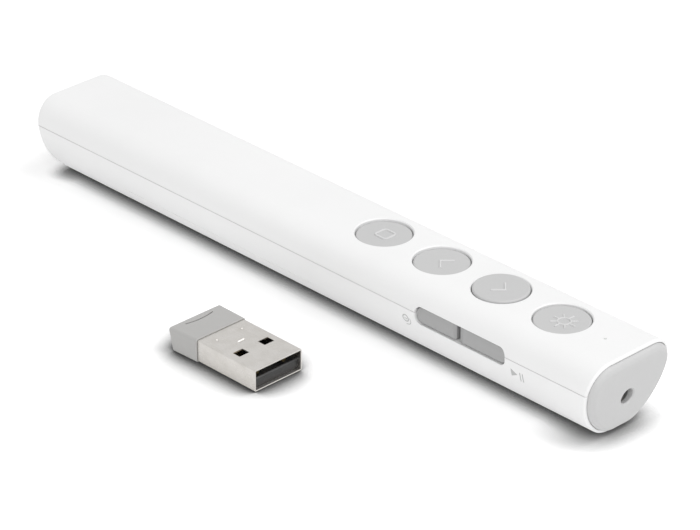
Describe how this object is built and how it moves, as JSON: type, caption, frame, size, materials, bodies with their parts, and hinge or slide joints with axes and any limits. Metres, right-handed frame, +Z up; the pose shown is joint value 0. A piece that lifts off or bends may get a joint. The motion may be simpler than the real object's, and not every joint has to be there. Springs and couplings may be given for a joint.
{
  "type": "wireless presentation remote",
  "caption": "Slim wireless presentation remote with round top keys, a side key pair, a laser nose, a battery door and its USB radio receiver.",
  "frame": {"origin": "middle of the handset's length, on the flat strip of its underside", "axes": "+X along the handset towards the laser nose, +Z up from the rest strip to the top keys, -Y is the side of the side keys and of the receiver"},
  "size_m": [0.1554, 0.0508, 0.0179],
  "materials": {
    "casing_white": "fine satin moulded ABS",
    "key_grey": "satin moulded ABS",
    "side_key_grey": "satin moulded ABS",
    "nose_grey": "satin moulded ABS",
    "grip_grey": "satin moulded ABS",
    "plug_steel": "stamped and nickel plated",
    "carrier_black": "moulded liquid crystal polymer",
    "contact_gold": "gold flashed",
    "board_green": "solder mask over glass fibre",
    "chip_black": "moulded package",
    "can_steel": "drawn metal can",
    "switch_black": "moulded switch body",
    "plunger_white": "moulded plunger",
    "spring_nickel": "nickel plated spring steel",
    "screw_zinc": "zinc plated steel",
    "barrel_brass": "turned brass",
    "lens_clear": "polished optical glass",
    "light_clear": "clear acrylic",
    "led_pale": "lamp package",
    "cell_wrap": "printed shrink sleeve"
  },
  "bodies": {
    "handset": {"battery_cell": "cell_wrap", "battery_spring": "spring_nickel", "board_passives": "chip_black", "board_screws": "screw_zinc", "bottom_shell": "casing_white", "crystal_can": "can_steel", "laser_barrel": "barrel_brass", "laser_diode": "can_steel", "laser_leads": "spring_nickel", "laser_lens": "lens_clear", "light_pipe": "light_clear", "main_board": "board_green", "negative_contact": "spring_nickel", "nose_cap": "nose_grey", "positive_contact": "spring_nickel", "power_coil": "chip_black", "radio_chip": "chip_black", "shell_screws": "screw_zinc", "side_switch_front": "switch_black", "side_switch_rear": "switch_black", "status_led": "led_pale", "switch_laser": "switch_black", "switch_next": "switch_black", "switch_previous": "switch_black", "switch_screen": "switch_black", "top_shell": "casing_white"},
    "battery_door": {"battery_cover": "casing_white"},
    "key_screen_set": {"key_screen": "key_grey", "plunger_screen": "plunger_white"},
    "key_previous_set": {"key_previous": "key_grey", "plunger_previous": "plunger_white"},
    "key_next_set": {"key_next": "key_grey", "plunger_next": "plunger_white"},
    "key_laser_set": {"key_laser": "key_grey", "plunger_laser": "plunger_white"},
    "side_key_rear_set": {"side_key_rear": "side_key_grey", "side_plunger_rear": "plunger_white"},
    "side_key_front_set": {"side_key_front": "side_key_grey", "side_plunger_front": "plunger_white"},
    "receiver": {"usb_shell": "plug_steel", "contact_carrier": "carrier_black", "usb_contacts": "contact_gold", "receiver_grip": "grip_grey", "receiver_board": "board_green", "receiver_chip": "chip_black"}
  },
  "joints": [
    {"name": "press_screen", "type": "slide", "parent": "handset", "child": "key_screen_set", "axis": [0, 0, -1], "range_m": [0, 0.00035], "stiffness_N_per_m": 2000},
    {"name": "press_previous", "type": "slide", "parent": "handset", "child": "key_previous_set", "axis": [0, 0, -1], "range_m": [0, 0.00035], "stiffness_N_per_m": 2000},
    {"name": "press_next", "type": "slide", "parent": "handset", "child": "key_next_set", "axis": [0, 0, -1], "range_m": [0, 0.00035], "stiffness_N_per_m": 2000},
    {"name": "press_laser", "type": "slide", "parent": "handset", "child": "key_laser_set", "axis": [0, 0, -1], "range_m": [0, 0.00035], "stiffness_N_per_m": 2000},
    {"name": "press_side_rear", "type": "slide", "parent": "handset", "child": "side_key_rear_set", "axis": [0, 1, 0], "range_m": [0, 0.0003], "stiffness_N_per_m": 2000},
    {"name": "press_side_front", "type": "slide", "parent": "handset", "child": "side_key_front_set", "axis": [0, 1, 0], "range_m": [0, 0.0003], "stiffness_N_per_m": 2000},
    {"name": "battery_door_swing", "type": "hinge", "parent": "handset", "child": "battery_door", "pos_m": [0.0027, 0, 0], "axis": [0, -1, 0], "range_deg": [0, 40]},
    {"name": "receiver_lift", "type": "slide", "parent": "handset", "child": "receiver", "axis": [0, 0, 1], "range_m": [0, 0.04]}
  ]
}
